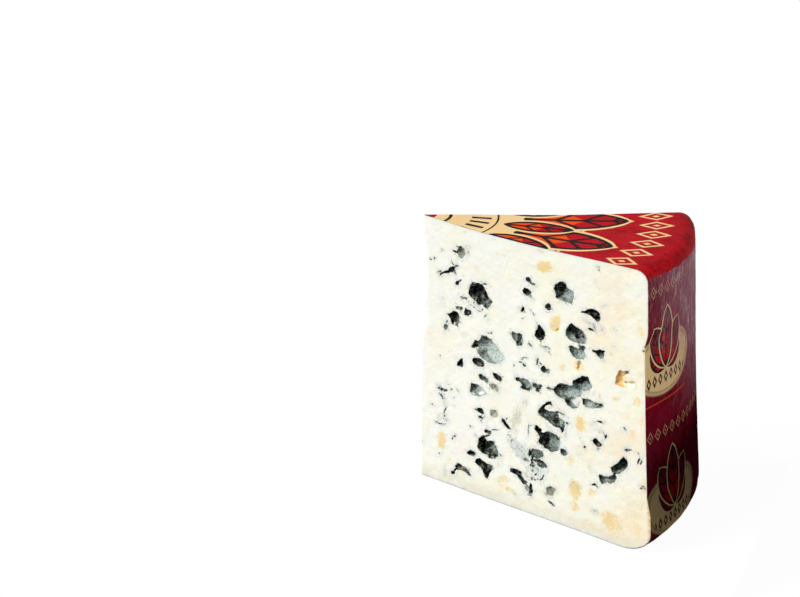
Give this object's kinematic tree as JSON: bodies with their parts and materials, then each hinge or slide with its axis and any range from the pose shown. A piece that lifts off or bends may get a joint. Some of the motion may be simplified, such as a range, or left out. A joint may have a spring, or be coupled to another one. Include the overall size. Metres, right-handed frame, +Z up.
{
  "type": "blue cheese wedge",
  "caption": "Tall wedge cut from a round of blue cheese, with mould-lined eyes on both cut faces and the foil wrapper still round its top, rim and base.",
  "frame": {"origin": "under the middle of the wedge's bounding box, on the surface it stands on", "axes": "+X along the wedge's middle from its tip to its rim, +Y across it towards the back cut, so the front cut faces -Y, +Z up"},
  "size_m": [0.1008, 0.072, 0.101],
  "materials": {
    "paste": "moist ivory paste with blue-green mould in its eyes",
    "wrapper": "thin printed foil, crimson with cream and dark motifs, lightly crinkled"
  },
  "bodies": {
    "root": {"cheese": "paste", "foil": "wrapper"}
  },
  "joints": []
}
